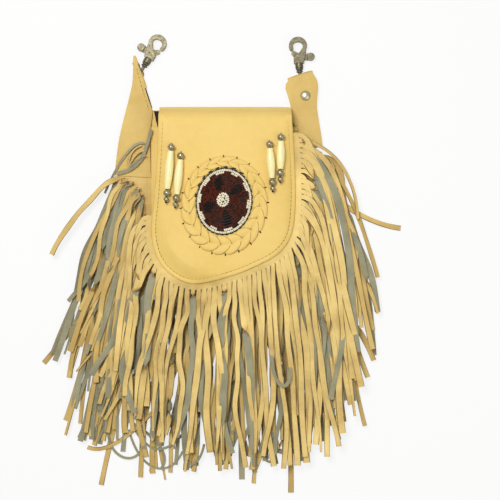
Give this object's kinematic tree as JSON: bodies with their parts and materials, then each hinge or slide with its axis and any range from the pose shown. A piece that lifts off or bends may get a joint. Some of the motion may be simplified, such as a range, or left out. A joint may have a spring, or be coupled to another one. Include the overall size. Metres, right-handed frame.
{
  "type": "fringed belt bag",
  "caption": "Flat leather hip bag with a zipped pouch, slip pocket, beaded flap, long fringe and swivel trigger snaps to hang from a belt.",
  "frame": {"origin": "on the flat back face of the bag, behind the rosette", "axes": "+X to the wearer's left as seen from the front, +Y towards the clips, +Z out of the front; the bag lies on its back"},
  "size_m": [0.3902, 0.4596, 0.0375],
  "materials": {
    "leather": "soft golden buckskin, matt",
    "black_leather": "thin black leather",
    "black_cloth": "black woven tape and lining",
    "black_nylon": "black moulded zip teeth",
    "nickel": "nickel plate, slightly warm",
    "silver_beads": "polished plated beads",
    "bone": "polished cream bone",
    "white_glass": "opaque ivory glass seed beads",
    "maroon_glass": "dark maroon and black glass seed beads"
  },
  "bodies": {
    "bag": {"back_panel": "leather", "back_lining": "black_cloth", "front_panel": "leather", "pocket_panel": "leather", "body_snap_stud": "nickel", "zip_tape_lower": "black_cloth", "zip_tape_upper": "black_cloth", "zip_teeth_lower": "black_nylon", "zip_teeth_upper": "black_nylon", "zip_end_stop": "nickel", "zip_top_stop": "nickel", "left_tab": "leather", "right_tab": "leather", "right_tab_rivet": "nickel", "left_swivel_eye": "nickel", "right_swivel_eye": "nickel", "bottom_fringe_rear": "leather", "bottom_fringe_front": "leather", "left_side_fringe_rear": "leather", "left_side_fringe_front": "leather", "right_side_fringe_rear": "leather", "right_side_fringe_front": "leather"},
    "flap": {"flap": "leather", "flap_fringe": "leather", "flap_snap_socket": "nickel", "braided_wreath": "leather", "rosette_backing": "black_leather", "rosette_rim_beads": "white_glass", "rosette_field_beads": "maroon_glass", "rosette_centre_beads": "white_glass", "bead_lace_1": "black_leather", "silver_bead_upper_1": "silver_beads", "bone_bead_1": "bone", "silver_bead_lower_1": "silver_beads", "tip_bead_1": "silver_beads", "bead_lace_2": "black_leather", "silver_bead_upper_2": "silver_beads", "bone_bead_2": "bone", "silver_bead_lower_2": "silver_beads", "tip_bead_2": "silver_beads", "bead_lace_3": "black_leather", "silver_bead_upper_3": "silver_beads", "bone_bead_3": "bone", "silver_bead_lower_3": "silver_beads", "tip_bead_3": "silver_beads", "bead_lace_4": "black_leather", "silver_bead_upper_4": "silver_beads", "bone_bead_4": "bone", "silver_bead_lower_4": "silver_beads", "tip_bead_4": "silver_beads"},
    "left_hook": {"left_hook_body": "nickel", "left_gate_pin": "nickel"},
    "right_hook": {"right_hook_body": "nickel", "right_gate_pin": "nickel"},
    "left_trigger": {"left_gate": "nickel"},
    "right_trigger": {"right_gate": "nickel"},
    "zip_slider": {"zip_slider": "nickel"},
    "zip_pull": {"zip_pull": "nickel"}
  },
  "joints": [
    {"name": "flap_hinge", "type": "hinge", "parent": "bag", "child": "flap", "pos_m": [0, 0.088, 0.0129], "axis": [-1, 0, 0], "range_deg": [0, 110]},
    {"name": "left_clip_swivel", "type": "hinge", "parent": "bag", "child": "left_hook", "pos_m": [-0.0763, 0.1373, 0.00455], "axis": [0.515, 0.8572, 0], "continuous": true},
    {"name": "right_clip_swivel", "type": "hinge", "parent": "bag", "child": "right_hook", "pos_m": [0.0755, 0.1325, 0.00455], "axis": [-0.0698, 0.9976, 0], "continuous": true},
    {"name": "left_trigger_hinge", "type": "hinge", "parent": "left_hook", "child": "left_trigger", "pos_m": [-0.07446, 0.14191, 0.00455], "axis": [0, 0, 1], "range_deg": [0, 22], "stiffness_Nm_per_rad": 0.03},
    {"name": "right_trigger_hinge", "type": "hinge", "parent": "right_hook", "child": "right_trigger", "pos_m": [0.07596, 0.13744, 0.00455], "axis": [0, 0, -1], "range_deg": [0, 22], "stiffness_Nm_per_rad": 0.03},
    {"name": "zip_slide", "type": "slide", "parent": "bag", "child": "zip_slider", "axis": [1, 0, 0], "range_m": [-0.004, 0.08]},
    {"name": "zip_pull_hinge", "type": "hinge", "parent": "zip_slider", "child": "zip_pull", "pos_m": [-0.038, 0.0745, 0.0165], "axis": [0, -1, 0], "range_deg": [0, 27]}
  ]
}
